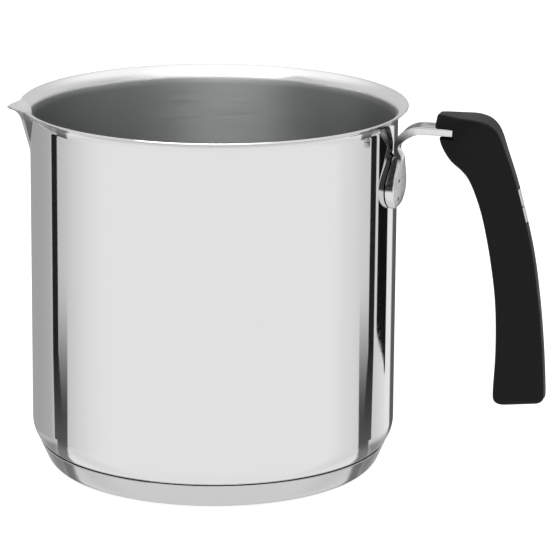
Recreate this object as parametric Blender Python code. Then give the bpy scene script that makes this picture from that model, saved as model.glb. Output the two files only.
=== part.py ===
"""Milk pan: a tall drawn steel pot with a flared rim, a pinched spout, a clad base and a side handle.

Frame: metres, +Z up. The origin is the centre of the base's underside, and the handle reaches along +X.
"""

import math

import bmesh
import bpy
from mathutils import Vector

# Air left between pieces that touch
SEAT_GAP = 0.0003

# Pan body: one drawn shell, from the table up to the lip
BODY_RADIUS = 0.0710
BODY_HEIGHT = 0.1440
BODY_WALL = 0.0008
BODY_CORNER_RADIUS = 0.0120
RIM_FLARE_RADIUS = 0.0046
RIM_FLARE_TURN = math.radians(78)

# Spout: a V pressed out of the wall, sharp at its foot and widest at the lip
SPOUT_TURN = math.radians(203)
SPOUT_DEPTH = 0.0185
SPOUT_MOUTH = 0.0200
SPOUT_REACH = 0.0050
SPOUT_FOLD_RADIUS = 0.0009
SPOUT_FINE_SHARE = 1.5

# Clad base: an aluminium core under the floor, closed in by a pressed steel cap
BASE_HEIGHT = 0.0070
CAP_WALL = 0.0008
CAP_FLAT_INSET = 0.0120
CAP_EDGE_RADIUS = 0.0070
CAP_LIP_TURN = math.radians(38)

# Bracket: a dished welding pad, a neck pressed into a channel that opens to the wall, and a tongue
BRACKET_SHEET = 0.0014
PAD_STANDOFF = 0.0027
PAD_WIDTH = 0.0220
PAD_HEIGHT = 0.0203
PAD_DROP = 0.0167
PAD_EDGE_RADIUS = 0.0005
NECK_WIDTH = 0.0118
NECK_DEPTH = 0.0034
NECK_RISE = 0.0097
NECK_END_DEPTH = 0.0029
NECK_EDGE_RADIUS = 0.0016
TONGUE_WIDTH = 0.0090
TONGUE_SHEET = 0.0011
TONGUE_TUCK = 0.0040

# Stations up the pad: how far its face stands out, the height and the half width, as shares of the pad's sizes
PAD_RAIL_SHARES = (
    (0.22, 0.000, 0.08),
    (0.44, 0.006, 0.22),
    (0.67, 0.027, 0.40),
    (0.80, 0.069, 0.58),
    (0.87, 0.133, 0.76),
    (0.93, 0.212, 0.90),
    (0.97, 0.310, 0.98),
    (1.00, 0.419, 1.00),
    (1.02, 0.527, 0.96),
    (1.06, 0.626, 0.85),
    (1.13, 0.714, 0.71),
    (1.22, 0.798, 0.55),
    (1.31, 0.877, 0.40),
    (1.36, 0.946, 0.30),
)
PAD_WIDEST_SHARE = 0.419

# Stations along the neck: reach, rise, half width and depth as shares of the neck's sizes, and its bend
NECK_RAIL_SHARES = (
    (0.036, 0.03, 0.47, 0.85, 0.00),
    (0.006, 0.155, 0.45, 0.69, 0.00),
    (-0.019, 0.30, 0.46, 0.56, 0.00),
    (-0.009, 0.433, 0.51, 0.59, 0.12),
    (0.028, 0.546, 0.61, 0.71, 0.36),
    (0.090, 0.67, 0.75, 0.88, 0.50),
    (0.161, 0.794, 0.86, 0.98, 0.61),
    (0.256, 0.907, 0.95, 1.00, 0.74),
    (0.370, 0.979, 0.99, 0.94, 0.89),
    (0.502, 1.00, 1.00, 0.88, 1.00),
)

# Handle grip: a moulded bow that hangs from its head
HEAD_STANDOFF = 0.0189
HEAD_COVER = 0.0044
GRIP_SPAN = 0.0417
GRIP_DROP = 0.1088
GRIP_WIDTH = 0.0244
GRIP_SQUARENESS = 6.0
GRIP_END_RADIUS = 0.0030
HEAD_END_RADIUS = 0.0010
FLANGE_LAP = 0.0052
TONGUE_LAP_SHARE = 0.408
SLOT_OVERRUN = 0.0060

# Rails of the grip, from the front of its head to its free end: each row is one station, with the underside
# and the outside as shares of the span and of the drop, the breadth as a share of the width, and the
# breadth of the outside as a share of that
GRIP_RAIL_SHARES = (
    (0.022, 0.041, 0.022, -0.008, 0.62, 0.42),
    (0.032, 0.056, 0.069, -0.008, 0.66, 0.50),
    (0.075, 0.101, 0.186, -0.005, 0.76, 0.71),
    (0.160, 0.147, 0.329, -0.002, 0.90, 0.74),
    (0.261, 0.177, 0.462, 0.012, 0.97, 0.60),
    (0.329, 0.208, 0.553, 0.046, 1.00, 0.42),
    (0.400, 0.270, 0.629, 0.118, 1.00, 0.31),
    (0.474, 0.359, 0.745, 0.246, 1.00, 0.27),
    (0.548, 0.499, 0.899, 0.457, 1.00, 0.25),
    (0.593, 0.646, 0.966, 0.636, 0.99, 0.25),
    (0.595, 0.811, 1.003, 0.807, 0.98, 0.25),
    (0.579, 0.950, 1.026, 0.950, 0.97, 0.25),
    (0.579, 0.984, 1.029, 0.988, 0.97, 0.25),
)

# Fixing screw and its washer, driven up through the head into the tongue
SCREW_LAP_SHARE = 0.266
SCREW_RADIUS = 0.0020
SCREW_HEAD_RADIUS = 0.0036
SCREW_HEAD_HEIGHT = 0.0022
SCREW_SLOT_WIDTH = 0.0009
SCREW_SLOT_DEPTH = 0.0011
SCREW_REACH = 0.0020
SCREW_SEAT_DEPTH = 0.0073
WASHER_THICKNESS = 0.0008

# Badge: a plain bright plate let into the outside of the grip
BADGE_START_SHARE = 0.589
BADGE_END_SHARE = 0.622
BADGE_WIDTH = 0.0036
BADGE_THICKNESS = 0.0012
BADGE_PROUD = 0.0004

# Steps round and along the curved pieces, and the turn between faces that makes an edge sharp
WALL_STEPS = 62
SPOUT_STEPS = 20
BASE_STEPS = 64
ARC_STEPS = 6
LIP_STEPS = 3
SPOUT_LEVELS = 8
GRIP_STEPS_PER_RAIL = 3
GRIP_SECTION_STEPS = 28
ROUND_STEPS = 24
BADGE_STEPS = 6
BRACKET_STEPS_PER_RAIL = 2
BRACKET_EDGE_STEPS = 2
SHARP_TURN = math.radians(35)

# Sizes worked out from the ones above
QUARTER = math.radians(90)
CORNER_CENTRE_RADIUS = BODY_RADIUS - BODY_CORNER_RADIUS
CORNER_CENTRE_HEIGHT = BASE_HEIGHT + BODY_CORNER_RADIUS
RIM_CENTRE_RADIUS = BODY_RADIUS + RIM_FLARE_RADIUS
RIM_END_TURN = 2 * QUARTER - RIM_FLARE_TURN
RIM_FOOT = BODY_HEIGHT - (RIM_FLARE_RADIUS + BODY_WALL) * math.sin(RIM_END_TURN)
SPOUT_FOOT = BODY_HEIGHT - SPOUT_DEPTH
CAP_FLAT_RADIUS = BODY_RADIUS - CAP_FLAT_INSET
PAD_TOP = BODY_HEIGHT - PAD_DROP
PAD_FOOT = PAD_TOP - PAD_HEIGHT
PAD_WIDEST = PAD_FOOT + PAD_HEIGHT * PAD_WIDEST_SHARE
PAD_INNER = BODY_RADIUS + SEAT_GAP
PAD_FACE = PAD_INNER + PAD_STANDOFF
NECK_UNDER = PAD_TOP + NECK_RISE
NECK_TOP = NECK_UNDER + NECK_END_DEPTH
HEAD_FRONT = BODY_RADIUS + HEAD_STANDOFF
FLANGE_END = HEAD_FRONT + FLANGE_LAP
TONGUE_END = HEAD_FRONT + GRIP_SPAN * TONGUE_LAP_SHARE
NECK_REACH = FLANGE_END - PAD_FACE
TONGUE_BOTTOM = NECK_UNDER + (BRACKET_SHEET - TONGUE_SHEET) / 2
TONGUE_TOP = TONGUE_BOTTOM + TONGUE_SHEET
GRIP_TOP = NECK_TOP + HEAD_COVER
SCREW_AXIS = HEAD_FRONT + GRIP_SPAN * SCREW_LAP_SHARE
SCREW_SEAT = TONGUE_BOTTOM - SCREW_SEAT_DEPTH
SCREW_TIP = TONGUE_TOP + SCREW_REACH

# Colours, roughness and metallic value
STEEL = ((0.80, 0.80, 0.80, 1.0), 0.08, 1.0)
ALUMINIUM = ((0.72, 0.73, 0.74, 1.0), 0.35, 1.0)
BAKELITE = ((0.018, 0.018, 0.018, 1.0), 0.45, 0.0)
PLATED_STEEL = ((0.62, 0.62, 0.63, 1.0), 0.22, 1.0)


def clear_scene():
    """Remove whatever the file starts with."""
    for thing in list(bpy.data.objects):
        bpy.data.objects.remove(thing, do_unlink=True)


def finish_material(name, finish):
    """Make a Principled material from a colour, a roughness and a metallic value."""
    colour, roughness, metallic = finish
    material = bpy.data.materials.new(name)
    material.use_nodes = True
    shader = material.node_tree.nodes["Principled BSDF"]
    shader.inputs["Base Color"].default_value = colour
    shader.inputs["Roughness"].default_value = roughness
    shader.inputs["Metallic"].default_value = metallic
    material.diffuse_color = colour
    return material


def add_object(name, build, finish=None):
    """Turn a bmesh into a named, smooth shaded object with its faces pointing out."""
    bmesh.ops.recalc_face_normals(build, faces=build.faces)
    mesh = bpy.data.meshes.new(name)
    build.to_mesh(mesh)
    build.free()
    mesh.shade_smooth()
    mesh.set_sharp_from_angle(angle=SHARP_TURN)
    thing = bpy.data.objects.new(name, mesh)
    bpy.context.scene.collection.objects.link(thing)
    if finish:
        mesh.materials.append(finish_material(name, finish))
    return thing


def combine(target, tool, operation):
    """Cut a tool out of a target, or join the two, and keep the tool as a hidden guide."""
    tool.hide_render = True
    tool.display_type = "WIRE"
    modifier = target.modifiers.new(tool.name, "BOOLEAN")
    modifier.operation = operation
    modifier.object = tool
    modifier.solver = "EXACT"


def arc_point(centre, radius, turn):
    """The point of a circle at a turn."""
    return centre[0] + radius * math.cos(turn), centre[1] + radius * math.sin(turn)


def arc(centre, radius, start, end, steps):
    """Points of an arc in a plane, both ends included."""
    return [arc_point(centre, radius, start + (end - start) * i / steps) for i in range(steps + 1)]


def bridge_rings(build, rings, closed=False):
    """Join rings of equal length into a skin, with a fan where a ring is a single point."""
    pairs = list(zip(rings, rings[1:]))
    if closed:
        pairs.append((rings[-1], rings[0]))
    for lower, upper in pairs:
        count = max(len(lower), len(upper))
        for i in range(count):
            j = (i + 1) % count
            if len(lower) == 1:
                build.faces.new((lower[0], upper[i], upper[j]))
            elif len(upper) == 1:
                build.faces.new((lower[i], lower[j], upper[0]))
            else:
                build.faces.new((lower[i], lower[j], upper[j], upper[i]))


def even_turns(steps):
    """Equal turns round a full circle."""
    return [4 * QUARTER * i / steps for i in range(steps)]


def turned_mesh(profile, turns, bulge=None):
    """Turn a profile of radius and height about the Z axis; bulge pushes its points out."""
    build = bmesh.new()
    rings = []
    for radius, height in profile:
        if radius == 0:
            rings.append([build.verts.new((0, 0, height))])
            continue
        ring = []
        for turn in turns:
            reach = radius + (bulge(turn, height) if bulge else 0)
            ring.append(build.verts.new((reach * math.cos(turn), reach * math.sin(turn), height)))
        rings.append(ring)
    bridge_rings(build, rings, closed=len(rings[0]) > 1)
    return build


def prism_mesh(outline, place, low, high):
    """Extrude a closed outline between two depths; place turns a point and a depth into a position."""
    build = bmesh.new()
    rings = [[build.verts.new(place(point, depth)) for point in outline] for depth in (low, high)]
    bridge_rings(build, rings)
    build.faces.new(rings[0])
    build.faces.new(rings[1])
    return build


def box_mesh(low, high):
    """A box between two corners."""
    corners = [(low[0], low[1]), (high[0], low[1]), (high[0], high[1]), (low[0], high[1])]
    return prism_mesh(corners, lambda point, depth: (point[0], point[1], depth), low[2], high[2])


def rod_mesh(radius, low, high):
    """A round rod on the screw's axis."""
    outline = [(radius * math.cos(t), radius * math.sin(t)) for t in even_turns(ROUND_STEPS)]
    return prism_mesh(outline, lambda point, depth: (SCREW_AXIS + point[0], point[1], depth), low, high)


def spout_bulge(turn, height):
    """How far the spout's V pushes the wall out: two flat flanks that meet in a ridge."""
    away = math.remainder(turn - SPOUT_TURN, 4 * QUARTER) * BODY_RADIUS
    side = math.hypot(away, SPOUT_FOLD_RADIUS) - SPOUT_FOLD_RADIUS
    rise = height - SPOUT_FOOT - SPOUT_DEPTH * side / (SPOUT_MOUTH / 2)
    if rise <= -SPOUT_FOLD_RADIUS:
        return 0.0
    if rise < SPOUT_FOLD_RADIUS:
        rise = (rise + SPOUT_FOLD_RADIUS) ** 2 / (4 * SPOUT_FOLD_RADIUS)
    return SPOUT_REACH * rise / SPOUT_DEPTH


def body_turns():
    """Even turns round the wall, with fine ones across the spout."""
    half = SPOUT_FINE_SHARE * SPOUT_MOUTH / 2 / BODY_RADIUS
    fine = [SPOUT_TURN - half + 2 * half * i / SPOUT_STEPS for i in range(SPOUT_STEPS + 1)]
    rest = 4 * QUARTER - 2 * half
    coarse = [SPOUT_TURN + half + rest * i / WALL_STEPS for i in range(1, WALL_STEPS)]
    return fine + coarse


def body_profile():
    """The shell's outline from the middle of its underside, over the lip, to the middle of its floor."""
    corner = (CORNER_CENTRE_RADIUS, CORNER_CENTRE_HEIGHT)
    rim = (RIM_CENTRE_RADIUS, RIM_FOOT)
    lip = arc_point(rim, RIM_FLARE_RADIUS + BODY_WALL / 2, RIM_END_TURN)
    foot = SPOUT_FOOT - SPOUT_FOLD_RADIUS
    levels = [foot + (RIM_FOOT - foot) * i / SPOUT_LEVELS for i in range(SPOUT_LEVELS)]
    inside = BODY_RADIUS - BODY_WALL
    outer = [(0, BASE_HEIGHT)]
    outer += arc(corner, BODY_CORNER_RADIUS, -QUARTER, 0, ARC_STEPS)
    outer += [(BODY_RADIUS, level) for level in levels]
    outer += arc(rim, RIM_FLARE_RADIUS, 2 * QUARTER, RIM_END_TURN, ARC_STEPS)
    edge = arc(lip, BODY_WALL / 2, RIM_END_TURN - 2 * QUARTER, RIM_END_TURN, LIP_STEPS)[1:-1]
    inner = arc(rim, RIM_FLARE_RADIUS + BODY_WALL, RIM_END_TURN, 2 * QUARTER, ARC_STEPS)
    inner += [(inside, level) for level in reversed(levels)]
    inner += arc(corner, BODY_CORNER_RADIUS - BODY_WALL, 0, -QUARTER, ARC_STEPS)
    inner += [(0, BASE_HEIGHT + BODY_WALL)]
    return outer + edge + inner


def make_pan_body():
    """The drawn shell with its flared rim and its spout."""
    return add_object("pan_body", turned_mesh(body_profile(), body_turns(), spout_bulge), STEEL)


def tangent_turn(point, centre, radius):
    """The turn at which a line from a point outside touches a circle on its lower right."""
    away = (point[0] - centre[0], point[1] - centre[1])
    return math.atan2(away[1], away[0]) - math.acos(radius / math.hypot(*away))


def cap_side(inset):
    """The cap's side in a plane: its edge round and its lip, moved in by an inset."""
    edge = (CAP_FLAT_RADIUS, CAP_EDGE_RADIUS)
    corner = (CORNER_CENTRE_RADIUS, CORNER_CENTRE_HEIGHT)
    seat = BODY_CORNER_RADIUS + SEAT_GAP
    lip = arc_point(corner, seat, -CAP_LIP_TURN)
    slant = tangent_turn(lip, edge, CAP_EDGE_RADIUS) + QUARTER
    lip_turn = -CAP_LIP_TURN - inset / (seat * math.sin(slant - QUARTER + CAP_LIP_TURN))
    lip = arc_point(corner, seat, lip_turn)
    radius = CAP_EDGE_RADIUS - inset
    return arc(edge, radius, -QUARTER, tangent_turn(lip, edge, radius), ARC_STEPS) + [lip], lip_turn


def make_base_cap():
    """The pressed cap that closes the base in, with its lip against the body's corner."""
    outer, _ = cap_side(0)
    inner, _ = cap_side(CAP_WALL)
    profile = [(0, 0)] + outer + inner[::-1] + [(0, CAP_WALL)]
    return add_object("base_cap", turned_mesh(profile, even_turns(BASE_STEPS)), STEEL)


def make_heat_spreader():
    """The core that fills the cap up to the body's floor and corner."""
    inset = CAP_WALL + SEAT_GAP
    side, lip_turn = cap_side(inset)
    corner = (CORNER_CENTRE_RADIUS, CORNER_CENTRE_HEIGHT)
    crown = arc(corner, BODY_CORNER_RADIUS + SEAT_GAP, lip_turn, -QUARTER, ARC_STEPS)[1:]
    profile = [(0, inset)] + side + crown + [(0, BASE_HEIGHT - SEAT_GAP)]
    return add_object("heat_spreader_disc", turned_mesh(profile, even_turns(BASE_STEPS)), ALUMINIUM)


def bracket_rows():
    """Rows from the pad's foot to the channel's end: place of the face, half width, depth and bend."""
    rows = []
    for out, up, half in PAD_RAIL_SHARES:
        reach = PAD_STANDOFF * out
        place = (PAD_INNER + reach, PAD_FOOT + PAD_HEIGHT * up)
        rows.append((*place, PAD_WIDTH / 2 * half, reach + NECK_DEPTH, 0))
    for out, up, half, depth, bend in NECK_RAIL_SHARES:
        place = (PAD_FACE + NECK_REACH * out, PAD_TOP + NECK_RISE * up)
        rows.append((*place, NECK_WIDTH / 2 * half, NECK_DEPTH * depth, QUARTER * bend))
    rows.append((FLANGE_END, NECK_UNDER, NECK_WIDTH / 2, NECK_END_DEPTH, QUARTER))
    return rows


def bracket_stations():
    """The rows joined by a smooth curve."""
    rows = bracket_rows()
    steps = BRACKET_STEPS_PER_RAIL * (len(rows) - 1)
    return [blend_rows(rows, i / steps) for i in range(steps + 1)]


def hollow_stations():
    """Stations halfway between the bracket's own, on past its open end."""
    stations = bracket_stations()
    between = [[(a + b) / 2 for a, b in zip(*pair)] for pair in zip(stations, stations[1:])]
    beyond = [stations[-1][0] + SLOT_OVERRUN] + stations[-1][1:]
    return between + [beyond]


def bracket_point(station, across, down):
    """The place of a point of the bracket's section; down runs from the face to the open side."""
    x, z, _, _, bend = station
    return x - down * math.cos(bend), across, z + down * math.sin(bend)


def bracket_ring(build, station):
    """One ring of the bracket's outside: a face with round edges, sides, and a back that follows the wall."""
    _, _, half, depth, bend = station
    edge = PAD_EDGE_RADIUS + (NECK_EDGE_RADIUS - PAD_EDGE_RADIUS) * bend / QUARTER
    edge = min(edge, half / 2, depth / 2)
    side = arc((half - edge, edge), edge, -QUARTER, 0, BRACKET_EDGE_STEPS) + [(half, depth), (half / 2, depth)]
    outline = side + [(0, depth)] + [(-across, down) for across, down in reversed(side)]
    ring = []
    for across, down in outline:
        x, y, z = bracket_point(station, across, down)
        ring.append(build.verts.new((max(x, math.sqrt(PAD_INNER**2 - y**2)), y, z)))
    return ring


def hollow_ring(build, station):
    """One ring of the hollow behind the face, a sheet's thickness inside the bracket's outside."""
    x, z, half, depth, bend = station
    low = max(0, (PAD_WIDEST - z) / (PAD_WIDEST - PAD_FOOT))
    inner = half - BRACKET_SHEET * (2 * half / PAD_WIDTH if low else 1)
    lifted = (x, z + BRACKET_SHEET * low, half, depth, bend)
    corners = [(inner, BRACKET_SHEET), (inner, depth + SLOT_OVERRUN)]
    corners += [(-across, down) for across, down in reversed(corners)]
    return [build.verts.new(bracket_point(lifted, across, down)) for across, down in corners]


def swept_mesh(stations, ring_maker):
    """A closed skin through the rings of the stations."""
    build = bmesh.new()
    rings = [ring_maker(build, station) for station in stations]
    bridge_rings(build, rings)
    build.faces.new(rings[0])
    build.faces.new(rings[-1])
    return build


def tongue_mesh():
    """The narrow tongue that carries the web on into the grip, with a round end."""
    half = TONGUE_WIDTH / 2
    start = FLANGE_END - TONGUE_TUCK
    outline = arc((TONGUE_END - half, 0), half, -QUARTER, QUARTER, ARC_STEPS) + [(start, half), (start, -half)]
    return prism_mesh(outline, lambda point, depth: (point[0], point[1], depth), TONGUE_BOTTOM, TONGUE_TOP)


def make_handle_bracket():
    """Dished pad, channel neck and tongue in one pressing, with the screw's hole in the tongue."""
    bracket = add_object("handle_bracket", swept_mesh(bracket_stations(), bracket_ring), STEEL)
    combine(bracket, add_object("tongue_guide", tongue_mesh()), "UNION")
    hole = rod_mesh(SCREW_RADIUS + SEAT_GAP, SCREW_SEAT, SCREW_TIP)
    combine(bracket, add_object("tongue_hole_cutter", hole), "DIFFERENCE")
    hollow = add_object("bracket_hollow_cutter", swept_mesh(hollow_stations(), hollow_ring))
    combine(bracket, hollow, "DIFFERENCE")
    return bracket


def blend_rows(rows, share):
    """A smooth curve through rows of numbers, read at a share of its length in rows."""
    place = share * (len(rows) - 1)
    i = min(int(place), len(rows) - 2)
    t = place - i
    p0, p1, p2, p3 = rows[max(i - 1, 0)], rows[i], rows[i + 1], rows[min(i + 2, len(rows) - 1)]
    return [
        b + t * (c - a + t * (2 * a - 5 * b + 4 * c - d + t * (3 * (b - c) + d - a))) / 2
        for a, b, c, d in zip(p0, p1, p2, p3)
    ]


def grip_station(share):
    """The grip's underside point, outside point, half breadth and the outside's share of it, along the grip."""
    in_x, in_z, out_x, out_z, breadth, outside = blend_rows(GRIP_RAIL_SHARES, share)
    inner = Vector((HEAD_FRONT + GRIP_SPAN * in_x, 0, GRIP_TOP - GRIP_DROP * in_z))
    outer = Vector((HEAD_FRONT + GRIP_SPAN * out_x, 0, GRIP_TOP - GRIP_DROP * out_z))
    return inner, outer, breadth * GRIP_WIDTH / 2, outside


def squared_circle(turn):
    """A point of a unit circle drawn out towards its square."""
    power = 2 / GRIP_SQUARENESS
    across, along = math.cos(turn), math.sin(turn)
    return math.copysign(abs(across) ** power, across), math.copysign(abs(along) ** power, along)


def grip_ring(build, share, inset=0.0, push=0.0):
    """One ring of the grip, drawn in by an inset and pushed along the grip."""
    inner, outer, half, outside = grip_station(share)
    middle, depth = (inner + outer) / 2, (outer - inner) / 2
    ahead = depth.cross(Vector((0, 1, 0))).normalized() * push
    depth *= 1 - inset / depth.length
    ring = []
    for turn in even_turns(GRIP_SECTION_STEPS):
        across, along = squared_circle(turn)
        across *= (half - inset) * (1 - (1 - outside) * (1 + along) / 2)
        place = middle + ahead + depth * along + Vector((0, across, 0))
        ring.append(build.verts.new(place))
    return ring


def rounded_ring(build, share, radius, turn):
    """A ring of the round that closes an end of the grip, at a turn from its side to its face."""
    way = 1 if share == 0 else -1
    return grip_ring(build, share, radius * (1 - math.cos(turn)), way * radius * math.sin(turn))


def grip_mesh():
    """The grip's rings from the front of the head to the free end, both ends rounded over."""
    build = bmesh.new()
    steps = GRIP_STEPS_PER_RAIL * (len(GRIP_RAIL_SHARES) - 1)
    rounding = [QUARTER * i / LIP_STEPS for i in range(1, LIP_STEPS + 1)]
    rings = []
    for turn in reversed(rounding):
        rings.append(rounded_ring(build, 0, HEAD_END_RADIUS, turn))
    for i in range(steps + 1):
        rings.append(grip_ring(build, i / steps))
    for turn in rounding:
        rings.append(rounded_ring(build, 1, GRIP_END_RADIUS, turn))
    bridge_rings(build, rings)
    build.faces.new(rings[0])
    build.faces.new(rings[-1])
    return build


def badge_mesh(clearance):
    """The badge plate bent along the outside of the grip, or its recess when there is a clearance."""
    build = bmesh.new()
    half = BADGE_WIDTH / 2 + clearance
    spare = clearance / GRIP_DROP
    low, high = -(BADGE_THICKNESS - BADGE_PROUD + clearance), BADGE_PROUD + clearance
    rings = []
    for i in range(BADGE_STEPS + 1):
        start, end = BADGE_START_SHARE - spare, BADGE_END_SHARE + spare
        inner, outer, _, _ = grip_station(start + (end - start) * i / BADGE_STEPS)
        out = (outer - inner).normalized()
        corners = [(-half, low), (half, low), (half, high), (-half, high)]
        rings.append([build.verts.new(outer + out * up + Vector((0, side, 0))) for side, up in corners])
    bridge_rings(build, rings)
    build.faces.new(rings[0])
    build.faces.new(rings[-1])
    return build


def make_handle_grip():
    """The moulded grip with its flange slot, tongue pocket, screw well and badge recess."""
    grip = add_object("handle_grip", grip_mesh(), BAKELITE)
    overrun = SLOT_OVERRUN
    slot = box_mesh(
        (HEAD_FRONT - overrun, -GRIP_WIDTH, NECK_UNDER - SEAT_GAP),
        (FLANGE_END + SEAT_GAP, GRIP_WIDTH, NECK_TOP + SEAT_GAP),
    )
    combine(grip, add_object("flange_slot_cutter", slot), "DIFFERENCE")
    pocket_half = TONGUE_WIDTH / 2 + SEAT_GAP
    pocket = box_mesh(
        (HEAD_FRONT - overrun, -pocket_half, TONGUE_BOTTOM - SEAT_GAP),
        (TONGUE_END + SEAT_GAP, pocket_half, TONGUE_TOP + SEAT_GAP),
    )
    combine(grip, add_object("tongue_pocket_cutter", pocket), "DIFFERENCE")
    bore = rod_mesh(SCREW_RADIUS + SEAT_GAP, SCREW_SEAT - overrun, SCREW_TIP + SEAT_GAP)
    combine(grip, add_object("screw_bore_cutter", bore), "DIFFERENCE")
    well = rod_mesh(SCREW_HEAD_RADIUS + SEAT_GAP, SCREW_SEAT - 2 * overrun, SCREW_SEAT)
    combine(grip, add_object("screw_well_cutter", well), "DIFFERENCE")
    combine(grip, add_object("badge_recess_cutter", badge_mesh(SEAT_GAP)), "DIFFERENCE")
    return grip


def make_handle_badge():
    """The plain plate on the outside of the grip."""
    return add_object("handle_badge", badge_mesh(0.0), STEEL)


def screw_axis_profile(profile):
    """Turn a profile about the screw's axis."""
    build = turned_mesh(profile, even_turns(ROUND_STEPS))
    bmesh.ops.translate(build, verts=build.verts, vec=(SCREW_AXIS, 0, 0))
    return build


def make_screw_washer():
    """The flat washer between the screw's head and its seat in the grip."""
    top = SCREW_SEAT - SEAT_GAP
    bottom = top - WASHER_THICKNESS
    inner, outer = SCREW_RADIUS + SEAT_GAP, SCREW_HEAD_RADIUS
    profile = [(inner, bottom), (outer, bottom), (outer, top), (inner, top)]
    return add_object("screw_washer", screw_axis_profile(profile), PLATED_STEEL)


def make_handle_screw():
    """The slotted pan head screw, head down."""
    shoulder = SCREW_SEAT - 2 * SEAT_GAP - WASHER_THICKNESS
    foot = shoulder - SCREW_HEAD_HEIGHT
    round_over = SCREW_HEAD_HEIGHT / 2
    corner = (SCREW_HEAD_RADIUS - round_over, foot + round_over)
    profile = [(0, foot)] + arc(corner, round_over, -QUARTER, 0, LIP_STEPS)
    profile += [(SCREW_HEAD_RADIUS, shoulder), (SCREW_RADIUS, shoulder), (SCREW_RADIUS, SCREW_TIP), (0, SCREW_TIP)]
    screw = add_object("handle_screw", screw_axis_profile(profile), PLATED_STEEL)
    half = SCREW_SLOT_WIDTH / 2
    reach = 2 * SCREW_HEAD_RADIUS
    slot = box_mesh(
        (SCREW_AXIS - half, -reach, foot - SCREW_SLOT_DEPTH),
        (SCREW_AXIS + half, reach, foot + SCREW_SLOT_DEPTH),
    )
    combine(screw, add_object("screw_slot_cutter", slot), "DIFFERENCE")
    return screw


def main():
    """Build every piece of the pan."""
    clear_scene()
    make_pan_body()
    make_heat_spreader()
    make_base_cap()
    make_handle_bracket()
    make_handle_grip()
    make_screw_washer()
    make_handle_screw()
    make_handle_badge()


main()
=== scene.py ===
"""Looks of the milk pan: finer pieces, finishes, studio and camera, in metres, +Z up, handle along +X."""

import math

import bmesh
import bpy
from mathutils import Matrix, Vector


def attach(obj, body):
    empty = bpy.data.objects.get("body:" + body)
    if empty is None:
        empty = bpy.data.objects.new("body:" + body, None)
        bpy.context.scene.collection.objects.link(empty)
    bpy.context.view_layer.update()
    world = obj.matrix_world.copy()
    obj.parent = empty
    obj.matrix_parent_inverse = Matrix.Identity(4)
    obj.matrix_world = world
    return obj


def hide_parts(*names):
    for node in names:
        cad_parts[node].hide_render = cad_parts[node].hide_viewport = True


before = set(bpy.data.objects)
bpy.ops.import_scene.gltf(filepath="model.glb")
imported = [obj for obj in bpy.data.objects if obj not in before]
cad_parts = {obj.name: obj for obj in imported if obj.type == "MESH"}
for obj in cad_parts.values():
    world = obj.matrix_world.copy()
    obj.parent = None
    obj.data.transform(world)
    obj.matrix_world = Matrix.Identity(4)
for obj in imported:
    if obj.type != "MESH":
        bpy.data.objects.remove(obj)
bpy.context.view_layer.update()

# Sizes shared with the solids; the grip's rails and the badge follow the photo more closely here
SEAT_GAP = 0.0003
BODY_RADIUS = 0.0710
BODY_HEIGHT = 0.1440
BODY_WALL = 0.0008
BODY_CORNER_RADIUS = 0.0120
RIM_FLARE_RADIUS = 0.0046
RIM_FLARE_TURN = math.radians(78)
SPOUT_TURN = math.radians(203)
SPOUT_DEPTH = 0.0185
SPOUT_MOUTH = 0.0200
SPOUT_REACH = 0.0050
SPOUT_FOLD_RADIUS = 0.0009
SPOUT_FINE_SHARE = 1.5
BASE_HEIGHT = 0.0070
CAP_WALL = 0.0008
CAP_FLAT_INSET = 0.0120
CAP_EDGE_RADIUS = 0.0070
CAP_LIP_TURN = math.radians(38)
BRACKET_SHEET = 0.0014
PAD_STANDOFF = 0.0027
PAD_WIDTH = 0.0220
PAD_HEIGHT = 0.0203
PAD_DROP = 0.0167
PAD_EDGE_RADIUS = 0.0005
NECK_WIDTH = 0.0118
NECK_DEPTH = 0.0034
NECK_RISE = 0.0097
NECK_END_DEPTH = 0.0029
NECK_EDGE_RADIUS = 0.0016
TONGUE_WIDTH = 0.0090
TONGUE_SHEET = 0.0011
TONGUE_TUCK = 0.0040
PAD_RAIL_SHARES = (
    (0.22, 0.000, 0.08),
    (0.44, 0.006, 0.22),
    (0.67, 0.027, 0.40),
    (0.80, 0.069, 0.58),
    (0.87, 0.133, 0.76),
    (0.93, 0.212, 0.90),
    (0.97, 0.310, 0.98),
    (1.00, 0.419, 1.00),
    (1.02, 0.527, 0.96),
    (1.06, 0.626, 0.85),
    (1.13, 0.714, 0.71),
    (1.22, 0.798, 0.55),
    (1.31, 0.877, 0.40),
    (1.36, 0.946, 0.30),
)
PAD_WIDEST_SHARE = 0.419
NECK_RAIL_SHARES = (
    (0.036, 0.03, 0.47, 0.85, 0.00),
    (0.006, 0.155, 0.45, 0.69, 0.00),
    (-0.019, 0.30, 0.46, 0.56, 0.00),
    (-0.009, 0.433, 0.51, 0.59, 0.12),
    (0.028, 0.546, 0.61, 0.71, 0.36),
    (0.090, 0.67, 0.75, 0.88, 0.50),
    (0.161, 0.794, 0.86, 0.98, 0.61),
    (0.256, 0.907, 0.95, 1.00, 0.74),
    (0.370, 0.979, 0.99, 0.94, 0.89),
    (0.502, 1.00, 1.00, 0.88, 1.00),
)
HEAD_STANDOFF = 0.0189
HEAD_COVER = 0.0044
GRIP_SPAN = 0.0417
GRIP_DROP = 0.1088
GRIP_WIDTH = 0.0244
GRIP_SQUARENESS = 6.0
GRIP_END_RADIUS = 0.0030
HEAD_END_RADIUS = 0.0010
FLANGE_LAP = 0.0052
TONGUE_LAP_SHARE = 0.408
SLOT_OVERRUN = 0.0060
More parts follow.
